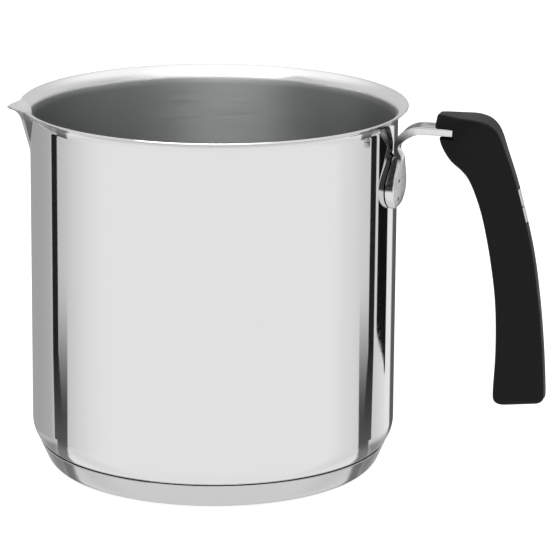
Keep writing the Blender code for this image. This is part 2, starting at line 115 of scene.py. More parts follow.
GRIP_RAIL_SHARES = (
    (-0.012, 0.041, -0.012, -0.008, 0.62, 0.42),
    (-0.004, 0.056, 0.038, -0.008, 0.66, 0.50),
    (0.032, 0.101, 0.172, -0.005, 0.76, 0.71),
    (0.119, 0.147, 0.322, -0.002, 0.90, 0.74),
    (0.218, 0.177, 0.445, 0.012, 0.97, 0.60),
    (0.291, 0.208, 0.534, 0.046, 1.00, 0.42),
    (0.366, 0.270, 0.609, 0.118, 1.00, 0.31),
    (0.438, 0.359, 0.723, 0.246, 1.00, 0.27),
    (0.512, 0.499, 0.865, 0.457, 1.00, 0.25),
    (0.562, 0.646, 0.940, 0.636, 0.99, 0.25),
    (0.575, 0.811, 0.987, 0.807, 0.98, 0.25),
    (0.560, 0.950, 1.012, 0.950, 0.97, 0.25),
    (0.560, 0.984, 1.015, 0.988, 0.97, 0.25),
)
SCREW_LAP_SHARE = 0.266
SCREW_RADIUS = 0.0020
SCREW_HEAD_RADIUS = 0.0036
SCREW_HEAD_HEIGHT = 0.0022
SCREW_SLOT_WIDTH = 0.0009
SCREW_SLOT_DEPTH = 0.0011
SCREW_REACH = 0.0020
SCREW_SEAT_DEPTH = 0.0073
WASHER_THICKNESS = 0.0008
BADGE_START_SHARE = 0.584
BADGE_END_SHARE = 0.630
BADGE_WIDTH = 0.0030
BADGE_THICKNESS = 0.0012
BADGE_PROUD = 0.0003

# Finer features that only the finished pieces have
GRIP_RIDGE_SQUARENESS = 12.0
SUPPORT_STEP = 0.0005
CAP_LIP_ROUND = 0.0003
SHEET_EDGE_ROUND = 0.0004
HOLLOW_ROUND = 0.0004
WELD_MARK_RADIUS = 0.0008
WELD_MARK_DEPTH = 0.0003
WELD_MARK_OVAL = 2.4
WELD_MARK_SIDE = -0.0026
WELD_MARK_HEIGHTS = (0.1180, 0.1110)
BADGE_EDGE_ROUND = 0.0003
WASHER_EDGE_ROUND = 0.00015
THREAD_PITCH = 0.0007
THREAD_DEPTH = 0.00025
TURNED_RING_RADII = (0.0200, 0.0380, 0.0540)
TURNED_RING_WIDTH = 0.0006
TURNED_RING_DEPTH = 0.00025

# Steps of the finished pieces
WALL_STEPS = 300
SPOUT_STEPS = 96
BASE_STEPS = 256
ARC_STEPS = 18
LIP_STEPS = 6
SPOUT_LEVELS = 44
WALL_LEVELS = 12
FLOOR_LEVELS = 8
GRIP_STEPS_PER_RAIL = 10
GRIP_SECTION_STEPS = 80
BRACKET_STEPS_PER_RAIL = 8
ROUND_STEPS = 64
BADGE_STEPS = 24
BALL_STEPS = 32
SHARP_TURN = math.radians(32)

# Sizes worked out from the ones above
QUARTER = math.radians(90)
CORNER = (BODY_RADIUS - BODY_CORNER_RADIUS, BASE_HEIGHT + BODY_CORNER_RADIUS)
RIM_END_TURN = 2 * QUARTER - RIM_FLARE_TURN
RIM_FOOT = BODY_HEIGHT - (RIM_FLARE_RADIUS + BODY_WALL) * math.sin(RIM_END_TURN)
SPOUT_FOOT = BODY_HEIGHT - SPOUT_DEPTH
CAP_FLAT_RADIUS = BODY_RADIUS - CAP_FLAT_INSET
PAD_TOP = BODY_HEIGHT - PAD_DROP
PAD_FOOT = PAD_TOP - PAD_HEIGHT
PAD_WIDEST = PAD_FOOT + PAD_HEIGHT * PAD_WIDEST_SHARE
PAD_INNER = BODY_RADIUS + SEAT_GAP
PAD_FACE = PAD_INNER + PAD_STANDOFF
NECK_UNDER = PAD_TOP + NECK_RISE
NECK_TOP = NECK_UNDER + NECK_END_DEPTH
HEAD_FRONT = BODY_RADIUS + HEAD_STANDOFF
FLANGE_END = HEAD_FRONT + FLANGE_LAP
TONGUE_END = HEAD_FRONT + GRIP_SPAN * TONGUE_LAP_SHARE
NECK_REACH = FLANGE_END - PAD_FACE
TONGUE_BOTTOM = NECK_UNDER + (BRACKET_SHEET - TONGUE_SHEET) / 2
TONGUE_TOP = TONGUE_BOTTOM + TONGUE_SHEET
GRIP_TOP = NECK_TOP + HEAD_COVER
SCREW_AXIS = HEAD_FRONT + GRIP_SPAN * SCREW_LAP_SHARE
SCREW_SEAT = TONGUE_BOTTOM - SCREW_SEAT_DEPTH
SCREW_TIP = TONGUE_TOP + SCREW_REACH

# Camera: place, turn about the upright, pitch and roll, and its lens and sensor in millimetres
CAMERA_PLACE = (0.35057668, -1.25210511, 0.417446)
CAMERA_TURN = math.radians(14.5)
CAMERA_PITCH = math.asin(0.25611403)
CAMERA_ROLL = 0.0088
CAMERA_LENS = 221.2
CAMERA_SENSOR = 36.0
CAMERA_NEAR = 0.05
CAMERA_FAR = 20.0

# Studio that the steel mirrors, in degrees: turns from the camera's side, right positive, and heights
CAMERA_SIDE_TURN = math.radians(-74.36)
ROOM_TONES = (
    (-180, 0.39), (-165, 0.39), (-143, 0.43), (-131, 0.475), (-124, 0.515), (-123, 0.62), (-115, 0.63),
    (-109, 0.67), (-102, 0.735), (-96, 0.80), (-89, 0.865), (-82, 0.92), (-70, 0.98), (80, 0.98), (89, 0.90),
    (99, 0.845), (105, 0.79), (113, 0.75), (118, 0.74), (125, 0.77), (140, 0.90), (142, 0.93), (152, 0.93),
    (154, 0.12), (180, 0.10),
)
FLAG_OUTER_TURNS = ((-18, 120), (-16, 122), (10, 122))
FLAG_INNER_TURNS = ((-18, 107), (-16, 115), (10, 115))
FLAG_TONES = ((-60, 0.30), (-33, 0.22), (-25, 0.15), (-17.5, 0.11), (-17, 0.06), (-16, 0.02), (10, 0.02))
FLAG_SOFTNESS = 0.35
SWEEP_LOW_DEPTHS = (
    (104, 10), (105, 16), (107, 21), (111, 26), (116, 31), (123, 35.5), (132, 38), (141, 39.5), (149, 39.5),
    (154, 38.5), (165, 34.5), (170, 31.5), (180, 28),
)
SWEEP_HIGH_DEPTHS = (
    (104, 16), (114, 16), (118, 18), (119, 20), (123, 25), (128, 28), (135, 30.5), (142, 32.5), (149, 32.5),
    (156, 32), (160, 30.5), (169, 26), (174, 23), (180, 20),
)
SWEEP_SOFTNESS = 1.3
SIDE_TURNS = (119, 124)
SIDE_HEIGHTS = (-16, -29)
SIDE_TONE = 0.30
BAND_INNER_TURN = 125.3
BAND_OUTER_TURN = 141.0
BAND_TIP_TURN = 138.5
BAND_HEIGHTS = (-16.3, -15.6)
BAND_TIP_SOFTNESS = 0.1
BAND_TONE = 0.008
LOW_TONES = (
    (0, 0.98), (80, 0.98), (90, 0.90), (99, 0.85), (107, 0.81), (122, 0.90), (140, 0.95), (158, 0.72),
    (180, 0.68),
)
LOW_HEIGHTS = (-18.5, -24.0)
DEEP_HEIGHTS = (-25.0, -80.0)
DEEP_TONE = 0.95
HIGH_TONES = ((0, 1.0), (28, 1.0), (60, 0.60), (110, 0.65), (180, 0.60))
HIGH_CENTRE_TURN = 10.0
HIGH_HEIGHTS = (-6.0, 8.0)
CEILING_HEIGHTS = (25.0, 50.0)
CEILING_TONE = 1.0
SCREEN_TURNS = (-75, -60, 15, 30)
SCREEN_HEIGHTS = (18, 30, 60, 75)
SCREEN_TONE = 0.45
SOFT_LIGHT_TONE = 0.70
BACKDROP_TONE = 1.0

# Lamps: name, place, power in watts, side length, and whether only the pan's shell gets its light
LAMPS = (
    ("key_lamp", (-1.1, -1.3, 1.6), 9.0, 1.4, False),
    ("fill_lamp", (1.6, -0.9, 0.9), 5.0, 1.2, False),
    ("top_lamp", (0.1, 0.2, 2.0), 5.0, 1.5, False),
    ("inside_lamp", (0.04, -1.0, 1.5), 46.0, 1.8, True),
)
LAMP_TARGET = (0.02, 0.0, 0.07)

# Floor
FLOOR_RADIUS = 6.0
FLOOR_DROP = 0.0002
FLOOR_STEPS = 96
FLOOR_GLOW = 0.62
FLOOR_COLOUR = (0.80, 0.80, 0.80, 1.0)
FLOOR_ROUGHNESS = 0.9
GLOW_COLOUR = (1.0, 1.0, 1.0, 1.0)

# Finishes: colours, the range of each roughness, and the scale and depth of the grain
NOISE_SPAN = (0.3, 0.7)
HAZE_STRETCH = (1.0, 1.0, 6.0)
HAZE_SCALE = 90.0
SWELL_SCALE = 18.0
SWELL_DETAIL = 2.0
MIRROR_COLOUR = (0.77, 0.77, 0.77, 1.0)
MIRROR_ROUGHNESS = (0.025, 0.05)
MIRROR_RIPPLE = 0.00001
CAP_COLOUR = (0.62, 0.62, 0.63, 1.0)
CAP_ROUGHNESS = (0.09, 0.15)
CAP_RIPPLE = 0.00003
# The inside wall's colour is darker than the outside's steel: painted shade
SHADED_SATIN_COLOUR = (0.335, 0.345, 0.345, 1.0)
SATIN_ROUGHNESS = (0.38, 0.46)
SATIN_STREAK = 0.7
SATIN_STREAK_TURN = 0.25
BRUSH_SCALES = (3.0, 2600.0)
BRUSH_DETAIL = 3.0
BRUSH_SPAN = (0.25, 0.75)
BRUSH_RELIEF = (0.35, 0.00002)
# The flare's colour is brighter than the outside's steel: a painted highlight
LIT_FLARE_COLOUR = (0.93, 0.93, 0.93, 1.0)
FLARE_ROUGHNESS_SHARE = 0.6
FLARE_BLEND = 0.0025
BRACKET_COLOUR = (0.74, 0.74, 0.74, 1.0)
BRACKET_ROUGHNESS = (0.06, 0.11)
BRACKET_RIPPLE = 0.00002
PAD_FACE_ROUGHNESS = (0.26, 0.30)
FACE_BLEND = 0.0004
# Dark colour shared by the spot weld marks and the shade painted on the bracket's skirt, then the painted
# shade's heights, reach and facing
WELD_MARK_AND_SHADE_COLOUR = (0.05, 0.05, 0.05, 1.0)
SKIRT_SHADE_HEIGHTS = (0.1151, 0.1163, 0.1330, 0.1410)
SKIRT_SHADE_REACH = 0.0790
SKIRT_SHADE_FACING = (0.7, 0.3)
RESIN_COLOUR = (0.005, 0.005, 0.005, 1.0)
RESIN_ROUGHNESS = (0.34, 0.42)
RESIN_IOR = 1.24
RESIN_SPECULAR = 0.5
RESIN_CLOUD_SCALE = 60.0
RESIN_SKIN_SCALE = 900.0
RESIN_RELIEF = (0.25, 0.00005)
PLATED_COLOUR = (0.62, 0.62, 0.63, 1.0)
PLATED_ROUGHNESS = (0.18, 0.34)
PLATED_SCALE = 1500.0
PLATED_RELIEF = (0.2, 0.00002)
ALUMINIUM_COLOUR = (0.72, 0.73, 0.74, 1.0)
ALUMINIUM_ROUGHNESS = (0.3, 0.45)
ALUMINIUM_STRETCH = (4.0, 900.0, 900.0)
ALUMINIUM_RELIEF = (0.3, 0.00003)


def arc_point(centre, radius, turn):
    """The point of a circle at a turn."""
    return centre[0] + radius * math.cos(turn), centre[1] + radius * math.sin(turn)


def arc(centre, radius, start, end, steps):
    """Points of an arc in a plane, both ends included."""
    return [arc_point(centre, radius, start + (end - start) * i / steps) for i in range(steps + 1)]


def spread(start, end, steps):
    """Even numbers from a start up to an end, the end left out."""
    return [start + (end - start) * i / steps for i in range(steps)]


def even_turns(steps):
    """Equal turns round a full circle."""
    return spread(0.0, 4 * QUARTER, steps)


def rounded_corner(before, corner, after, radius):
    """Points of a round that replaces the corner between two straight runs."""
    corner = Vector(corner)
    a = (Vector(before) - corner).normalized()
    b = (Vector(after) - corner).normalized()
    half = a.angle(b) / 2
    centre = corner + (a + b).normalized() * radius / math.sin(half)
    start = corner + a * radius / math.tan(half) - centre
    end = corner + b * radius / math.tan(half) - centre
    points = []
    for i in range(LIP_STEPS + 1):
        away = start.slerp(end, i / LIP_STEPS)
        points.append(tuple(centre + away.normalized() * radius))
    return points


def bridge_rings(build, rings, closed=False):
    """Join rings into a skin, with a fan where one is a single point; closed joins the last to the first."""
    pairs = list(zip(rings, rings[1:]))
    if closed:
        pairs.append((rings[-1], rings[0]))
    for lower, upper in pairs:
        count = max(len(lower), len(upper))
        for i in range(count):
            j = (i + 1) % count
            if len(lower) == 1:
                build.faces.new((lower[0], upper[i], upper[j]))
            elif len(upper) == 1:
                build.faces.new((lower[i], lower[j], upper[0]))
            else:
                build.faces.new((lower[i], lower[j], upper[j], upper[i]))


def capped_skin(build, rings):
    """Join rings into a skin and close both of its ends."""
    bridge_rings(build, rings)
    build.faces.new(rings[0])
    build.faces.new(rings[-1])
    return build


def turned_mesh(profile, turns, bulge=None, second=None):
    """Turn a profile about the Z axis; points from the second index on get the second material."""
    build = bmesh.new()
    rings = []
    for radius, height in profile:
        if radius == 0:
            rings.append([build.verts.new((0, 0, height))])
            continue
        ring = []
        for turn in turns:
            reach = radius + (bulge(turn, height) if bulge else 0)
            ring.append(build.verts.new((reach * math.cos(turn), reach * math.sin(turn), height)))
        rings.append(ring)
    if second is None:
        bridge_rings(build, rings, closed=len(rings[0]) > 1)
        return build
    bridge_rings(build, rings[:second + 1])
    first = len(build.faces)
    bridge_rings(build, rings[second:])
    build.faces.ensure_lookup_table()
    for face in build.faces[first:]:
        face.material_index = 1
    return build


def prism_mesh(outline, place, low, high):
    """Extrude a closed outline between two depths; place turns a point and a depth into a position."""
    build = bmesh.new()
    rings = [[build.verts.new(place(point, depth)) for point in outline] for depth in (low, high)]
    return capped_skin(build, rings)


def box_mesh(low, high):
    """A box between two corners."""
    corners = [(low[0], low[1]), (high[0], low[1]), (high[0], high[1]), (low[0], high[1])]
    return prism_mesh(corners, lambda point, depth: (point[0], point[1], depth), low[2], high[2])


def rod_mesh(radius, low, high):
    """A round rod on the screw's axis."""
    outline = [(radius * math.cos(t), radius * math.sin(t)) for t in even_turns(ROUND_STEPS)]
    return prism_mesh(outline, lambda point, depth: (SCREW_AXIS + point[0], point[1], depth), low, high)


def add_object(name, build, materials=()):
    """Turn a bmesh into a named, smooth shaded object with its faces pointing out."""
    bmesh.ops.recalc_face_normals(build, faces=build.faces)
    mesh = bpy.data.meshes.new(name)
    build.to_mesh(mesh)
    build.free()
    for material in materials:
        mesh.materials.append(material)
    thing = bpy.data.objects.new(name, mesh)
    bpy.context.scene.collection.objects.link(thing)
    smooth(thing)
    return thing


def smooth(thing):
    """Shade an object smooth, with its sharp edges kept."""
    thing.data.shade_smooth()
    thing.data.set_sharp_from_angle(angle=SHARP_TURN)


def combine(piece, build, operation="DIFFERENCE"):
    """Cut a shape out of a piece, or join the two, for good."""
    tool = add_object("tool", build, piece.data.materials[:])
    modifier = piece.modifiers.new("combine", "BOOLEAN")
    modifier.operation = operation
    modifier.object = tool
    modifier.solver = "EXACT"
    graph = bpy.context.evaluated_depsgraph_get()
    mesh = bpy.data.meshes.new_from_object(piece.evaluated_get(graph))
    piece.modifiers.clear()
    piece.data = mesh
    bpy.data.objects.remove(tool)
    smooth(piece)


def seat_piece(piece, node):
    """Put a finished piece in the place of its solid, on the pan's one body."""
    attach(piece, "root")
    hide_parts(node)


# Node helpers

def feed(tree, socket, value):
    """Give an input socket a plain value or a link."""
    if isinstance(value, bpy.types.NodeSocket):
        tree.links.new(value, socket)
    else:
        socket.default_value = value


def add_node(tree, kind, inputs=None, **settings):
    """Add a node, set its properties and feed its inputs."""
    node = tree.nodes.new(kind)
    for name, value in settings.items():
        setattr(node, name, value)
    for key, value in (inputs or {}).items():
        feed(tree, node.inputs[key], value)
    return node


def calc(tree, operation, *values):
    """A math node's result."""
    node = add_node(tree, "ShaderNodeMath", operation=operation)
    for socket, value in zip(node.inputs, values):
        feed(tree, socket, value)
    return node.outputs[0]


def product(tree, first, *others):
    """The product of several numbers."""
    for other in others:
        first = calc(tree, "MULTIPLY", first, other)
    return first


def ease(tree, value, start, end, low=0.0, high=1.0):
    """A smooth step of a value from low at the start to high at the end."""
    inputs = {"Value": value, "From Min": start, "From Max": end, "To Min": low, "To Max": high}
    node = add_node(tree, "ShaderNodeMapRange", inputs, interpolation_type="SMOOTHSTEP")
    return node.outputs["Result"]


def window(tree, value, start, full, fade, end):
    """One between two values, with a soft step on each side."""
    return product(tree, ease(tree, value, start, full), ease(tree, value, end, fade))


def blend(tree, share, first, second):
    """The first number where the share is zero and the second where it is one."""
    node = add_node(tree, "ShaderNodeMix", data_type="FLOAT")
    feed(tree, node.inputs[0], share)
    feed(tree, node.inputs[2], first)
    feed(tree, node.inputs[3], second)
    return node.outputs[0]


def table(tree, value, rows):
    """A number read from a table of places and values."""
    first, last = rows[0][0], rows[-1][0]
    largest = max(number for _, number in rows)
    inputs = {"Value": value, "From Min": float(first), "From Max": float(last)}
    place = add_node(tree, "ShaderNodeMapRange", inputs).outputs["Result"]
    ramp = add_node(tree, "ShaderNodeValToRGB", {"Fac": place})
    elements = ramp.color_ramp.elements
    while len(elements) < len(rows):
        elements.new(0.5)
    for element, (where, number) in zip(elements, rows):
        element.position = (where - first) / (last - first)
        level = number / largest
        element.color = (level, level, level, 1.0)
    return product(tree, ramp.outputs["Color"], largest)


def blend_colours(tree, share, first, second):
    """The first colour where the share is zero and the second where it is one."""
    node = add_node(tree, "ShaderNodeMix", data_type="RGBA")
    feed(tree, node.inputs[0], share)
    feed(tree, node.inputs[6], first)
    feed(tree, node.inputs[7], second)
    return node.outputs[2]


def grain(tree, coordinates, scale=1.0, detail=4.0, roughness=0.6):
    """Noise between zero and one."""
    inputs = {"Vector": coordinates, "Scale": scale, "Detail": detail, "Roughness": roughness}
    return add_node(tree, "ShaderNodeTexNoise", inputs).outputs["Fac"]


def uneven(tree, noise, low, high):
    """A value that a noise moves between low and high."""
    return ease(tree, noise, *NOISE_SPAN, low, high)


def stretched(tree, factors=(1.0, 1.0, 1.0)):
    """The object's own coordinates, stretched along its axes."""
    place = add_node(tree, "ShaderNodeTexCoord").outputs["Object"]
    return add_node(tree, "ShaderNodeMapping", {"Vector": place, "Scale": factors}).outputs["Vector"]


def split(tree, vector):
    """A vector's three numbers."""
    return add_node(tree, "ShaderNodeSeparateXYZ", {"Vector": vector}).outputs


def object_place(tree):
    """The object's own coordinates as three numbers."""
    return split(tree, add_node(tree, "ShaderNodeTexCoord").outputs["Object"])


def turned_coordinates(tree, round_scale, up_scale):
    """Coordinates that run round the pan's axis and up it, for brushing that follows the wall."""
    parts = object_place(tree)
    turn = calc(tree, "ARCTAN2", parts["Y"], parts["X"])
    squares = [calc(tree, "POWER", parts[axis], 2.0) for axis in "XY"]
    radius = calc(tree, "SQRT", calc(tree, "ADD", *squares))
    inputs = {
        "X": product(tree, calc(tree, "COSINE", turn), round_scale),
        "Y": product(tree, calc(tree, "SINE", turn), round_scale),
        "Z": product(tree, calc(tree, "ADD", parts["Z"], radius), up_scale),
    }
    return add_node(tree, "ShaderNodeCombineXYZ", inputs).outputs["Vector"]


def start_material(name, colour, metallic):
    """A Principled material with its plain colour and metallic value."""
    material = bpy.data.materials.new(name)
    material.use_nodes = True
    material.diffuse_color = colour
    shader = material.node_tree.nodes["Principled BSDF"]
    shader.inputs["Base Color"].default_value = colour
    shader.inputs["Metallic"].default_value = metallic
    return material.node_tree, shader, material


def set_relief(tree, shader, height, strength, depth):
    """Feed a height into the shader's normal."""
    inputs = {"Strength": strength, "Distance": depth, "Height": height}
    bump = add_node(tree, "ShaderNodeBump", inputs)
    tree.links.new(bump.outputs["Normal"], shader.inputs["Normal"])


def mirror_steel(name, colour, roughness, ripple):
    """Polished steel: a mirror with faint polishing haze and a trace of unevenness."""
    tree, shader, material = start_material(name, colour, 1.0)
    haze = grain(tree, stretched(tree, HAZE_STRETCH), HAZE_SCALE)
    feed(tree, shader.inputs["Roughness"], uneven(tree, haze, *roughness))
    set_relief(tree, shader, grain(tree, stretched(tree), SWELL_SCALE, SWELL_DETAIL), 1.0, ripple)
    return material


def shaded_satin_steel():
    """Brushed steel for the inside, its lines running round the pan, polished on the flare; its colour is
    darkened on the wall as painted shade and brightened on the flare as a painted highlight.
    """
    tree, shader, material = start_material("shaded_satin_steel", SHADED_SATIN_COLOUR, 1.0)
    lines = grain(tree, turned_coordinates(tree, *BRUSH_SCALES), 1.0, BRUSH_DETAIL)
    height = object_place(tree)["Z"]
    flare_polish_and_light = ease(tree, height, RIM_FOOT - FLARE_BLEND, RIM_FOOT + FLARE_BLEND)
    rough = ease(tree, lines, *BRUSH_SPAN, *SATIN_ROUGHNESS)
    share = ease(tree, flare_polish_and_light, 0.0, 1.0, 1.0, FLARE_ROUGHNESS_SHARE)
    feed(tree, shader.inputs["Roughness"], product(tree, rough, share))
    # The darker colour on the wall is painted shade, and the brighter one on the flare is a painted
    # highlight
    feed(tree, shader.inputs["Base Color"], blend_colours(tree, flare_polish_and_light, SHADED_SATIN_COLOUR, LIT_FLARE_COLOUR))
    shader.inputs["Anisotropic"].default_value = SATIN_STREAK
    shader.inputs["Anisotropic Rotation"].default_value = SATIN_STREAK_TURN
    set_relief(tree, shader, lines, *BRUSH_RELIEF)
    return material


def black_resin():
    """Black moulded resin, satin, with a fine uneven skin, dull inside the flanges' slot."""
    tree, shader, material = start_material("black_resin", RESIN_COLOUR, 0.0)
    cloud = grain(tree, stretched(tree), RESIN_CLOUD_SCALE)
    feed(tree, shader.inputs["Roughness"], uneven(tree, cloud, *RESIN_ROUGHNESS))
    shader.inputs["IOR"].default_value = RESIN_IOR
    gloss = product(tree, calc(tree, "SUBTRACT", 1.0, slot_mask(tree)), RESIN_SPECULAR)
    feed(tree, shader.inputs["Specular IOR Level"], gloss)
    set_relief(tree, shader, grain(tree, stretched(tree), RESIN_SKIN_SCALE), *RESIN_RELIEF)
    return material


def slot_mask(tree):
    """One inside the slot that holds the bracket's flanges, zero elsewhere."""
    parts = object_place(tree)
    low, high = NECK_UNDER - 2 * SEAT_GAP, NECK_TOP + 2 * SEAT_GAP
    level = window(tree, parts["Z"], low, low + SEAT_GAP, high - SEAT_GAP, high)
    end = FLANGE_END + 2 * SEAT_GAP
    return product(tree, level, ease(tree, parts["X"], end + SEAT_GAP, end))


def bracket_steel():
    """The bracket's steel: bright on its neck, satin on the pad's face, with shade painted beside it."""
    tree, shader, material = start_material("bracket_steel", BRACKET_COLOUR, 1.0)
    parts = object_place(tree)
    out = ease(tree, parts["X"], PAD_FACE - 2 * FACE_BLEND, PAD_FACE - FACE_BLEND)
    face = product(tree, out, ease(tree, parts["Z"], PAD_TOP, PAD_TOP - PAD_STANDOFF))
    haze = grain(tree, stretched(tree, HAZE_STRETCH), HAZE_SCALE)
    bright = uneven(tree, haze, *BRACKET_ROUGHNESS)
    satin = uneven(tree, haze, *PAD_FACE_ROUGHNESS)
    feed(tree, shader.inputs["Roughness"], blend(tree, face, bright, satin))
    # The spot weld marks and the shade painted on the skirt and the neck's foot darken the steel's colour
    weld_mark_and_shade = calc(tree, "MAXIMUM", painted_skirt_shade(tree, parts, face), weld_tint(tree, parts))
    feed(tree, shader.inputs["Base Color"], blend_colours(tree, weld_mark_and_shade, BRACKET_COLOUR, WELD_MARK_AND_SHADE_COLOUR))
    set_relief(tree, shader, grain(tree, stretched(tree), SWELL_SCALE, SWELL_DETAIL), 1.0, BRACKET_RIPPLE)
    return material


def painted_skirt_shade(tree, parts, face):
    """One where shade is painted on the pad's skirt and the sides of the neck's foot, in the crevice by the
    wall.
    """
    level = window(tree, parts["Z"], *SKIRT_SHADE_HEIGHTS)
    beside = calc(tree, "SUBTRACT", 1.0, face)
    near = ease(tree, parts["X"], SKIRT_SHADE_REACH + PAD_STANDOFF, SKIRT_SHADE_REACH)
    normal = split(tree, add_node(tree, "ShaderNodeNewGeometry").outputs["Normal"])
    turned = ease(tree, normal["X"], *SKIRT_SHADE_FACING)
    return product(tree, level, beside, near, turned)


def weld_tint(tree, parts):
    """One on the two oval spot weld marks, zero beside them."""
    marks = 0.0
    for height in WELD_MARK_HEIGHTS:
        aside = calc(tree, "POWER", calc(tree, "SUBTRACT", parts["Y"], WELD_MARK_SIDE), 2.0)
        above = calc(tree, "POWER", calc(tree, "SUBTRACT", parts["Z"], height), 2.0)
        away = calc(tree, "SQRT", calc(tree, "ADD", calc(tree, "DIVIDE", aside, WELD_MARK_OVAL**2), above))
        marks = calc(tree, "ADD", marks, ease(tree, away, WELD_MARK_RADIUS, WELD_MARK_RADIUS / 2))
    front = ease(tree, parts["X"], PAD_FACE - PAD_STANDOFF / 2, PAD_FACE - WELD_MARK_DEPTH)
    return product(tree, front, marks)


def zinc_plating():
    """Zinc plating with a fine crystalline haze."""
    tree, shader, material = start_material("zinc_plating", PLATED_COLOUR, 1.0)
    haze = grain(tree, stretched(tree), PLATED_SCALE)
    feed(tree, shader.inputs["Roughness"], uneven(tree, haze, *PLATED_ROUGHNESS))
    set_relief(tree, shader, haze, *PLATED_RELIEF)
    return material


def rolled_aluminium():
    """Raw rolled aluminium with its lines along one way."""
    tree, shader, material = start_material("rolled_aluminium", ALUMINIUM_COLOUR, 1.0)
    lines = grain(tree, stretched(tree, ALUMINIUM_STRETCH))
    feed(tree, shader.inputs["Roughness"], uneven(tree, lines, *ALUMINIUM_ROUGHNESS))
    set_relief(tree, shader, lines, *ALUMINIUM_RELIEF)
    return material


# Pan body

def spout_bulge(turn, height):
    """How far the spout's V pushes the wall out: two flat flanks that meet in a ridge."""
    away = math.remainder(turn - SPOUT_TURN, 4 * QUARTER) * BODY_RADIUS
    side = math.hypot(away, SPOUT_FOLD_RADIUS) - SPOUT_FOLD_RADIUS
    rise = height - SPOUT_FOOT - SPOUT_DEPTH * side / (SPOUT_MOUTH / 2)
    if rise <= -SPOUT_FOLD_RADIUS:
        return 0.0
    if rise < SPOUT_FOLD_RADIUS:
        rise = (rise + SPOUT_FOLD_RADIUS) ** 2 / (4 * SPOUT_FOLD_RADIUS)
    return SPOUT_REACH * rise / SPOUT_DEPTH


def body_turns():
    """Even turns round the wall, with fine ones across the spout."""
    half = SPOUT_FINE_SHARE * SPOUT_MOUTH / 2 / BODY_RADIUS
    fine = spread(SPOUT_TURN - half, SPOUT_TURN + half, SPOUT_STEPS)
    coarse = spread(SPOUT_TURN + half, SPOUT_TURN - half + 4 * QUARTER, WALL_STEPS)
    return fine + coarse


def wall_levels():
    """Heights up the straight wall, close together beside its rounds and across the spout."""
    foot = SPOUT_FOOT - SPOUT_FOLD_RADIUS
    low = CORNER[1] + SUPPORT_STEP
    high = RIM_FOOT - SUPPORT_STEP
    return spread(low, foot, WALL_LEVELS) + spread(foot, high, SPOUT_LEVELS) + [high]


def body_profile():
    """The shell's outline, from under its middle round to its floor's middle, and its inside's start."""
    rim = (BODY_RADIUS + RIM_FLARE_RADIUS, RIM_FOOT)
    lip = arc_point(rim, RIM_FLARE_RADIUS + BODY_WALL / 2, RIM_END_TURN)
    inside = BODY_RADIUS - BODY_WALL
    floor = BASE_HEIGHT + BODY_WALL
    radii = [0] + spread(0, CORNER[0] - SUPPORT_STEP, FLOOR_LEVELS)[1:] + [CORNER[0] - SUPPORT_STEP]
    outer = [(radius, BASE_HEIGHT) for radius in radii]
    outer += arc(CORNER, BODY_CORNER_RADIUS, -QUARTER, 0, ARC_STEPS)
    outer += [(BODY_RADIUS, level) for level in wall_levels()]
    outer += arc(rim, RIM_FLARE_RADIUS, 2 * QUARTER, RIM_END_TURN, ARC_STEPS)
    edge = arc(lip, BODY_WALL / 2, RIM_END_TURN - 2 * QUARTER, RIM_END_TURN, LIP_STEPS)[1:-1]
    inner = arc(rim, RIM_FLARE_RADIUS + BODY_WALL, RIM_END_TURN, 2 * QUARTER, ARC_STEPS)
    inner += [(inside, level) for level in reversed(wall_levels())]
    inner += arc(CORNER, BODY_CORNER_RADIUS - BODY_WALL, 0, -QUARTER, ARC_STEPS)
    inner += [(radius, floor) for radius in reversed(radii)]
    return outer + edge + inner, len(outer) + len(edge)


def make_pan_shell(mirror, satin):
    """The drawn shell, polished outside and brushed inside, with painted shade on the inside wall and a
    painted highlight on the flare.
    """
    profile, inside = body_profile()
    shell = add_object("pan_shell", turned_mesh(profile, body_turns(), spout_bulge, inside), (mirror, satin))
    seat_piece(shell, "pan_body")


# Clad base

def tangent_turn(point, centre, radius):
    """The turn at which a line from a point outside touches a circle on its lower right."""
    away = (point[0] - centre[0], point[1] - centre[1])
    return math.atan2(away[1], away[0]) - math.acos(radius / math.hypot(*away))


def cap_side(inset):
    """The cap's side in a plane: its edge round and its lip, moved in by an inset."""
    edge = (CAP_FLAT_RADIUS, CAP_EDGE_RADIUS)
    seat = BODY_CORNER_RADIUS + SEAT_GAP
    lip = arc_point(CORNER, seat, -CAP_LIP_TURN)
    slant = tangent_turn(lip, edge, CAP_EDGE_RADIUS) + QUARTER
    lip_turn = -CAP_LIP_TURN - inset / (seat * math.sin(slant - QUARTER + CAP_LIP_TURN))
    lip = arc_point(CORNER, seat, lip_turn)
    radius = CAP_EDGE_RADIUS - inset
    return arc(edge, radius, -QUARTER, tangent_turn(lip, edge, radius), ARC_STEPS) + [lip]


def cap_underside():
    """The cap's flat from its middle outwards, with fine turned rings pressed into it."""
    points = [(0, 0)]
    for radius in TURNED_RING_RADII:
        half = TURNED_RING_WIDTH / 2
        points += [(radius - half - SUPPORT_STEP, 0), (radius - half, 0), (radius, TURNED_RING_DEPTH)]
        points += [(radius + half, 0), (radius + half + SUPPORT_STEP, 0)]
    return points + [(CAP_FLAT_RADIUS - SUPPORT_STEP, 0)]


def make_base_cap_shell(steel):
    """The pressed cap with a rounded lip."""
    outer = cap_side(0)
    inner = cap_side(CAP_WALL)
    lip = rounded_corner(outer[-2], outer[-1], inner[-1], CAP_LIP_ROUND)
    profile = cap_underside() + outer[:-1] + lip + inner[::-1] + [(0, CAP_WALL)]
    cap = add_object("base_cap_shell", turned_mesh(profile, even_turns(BASE_STEPS)), (steel,))
    seat_piece(cap, "base_cap")


# Bracket

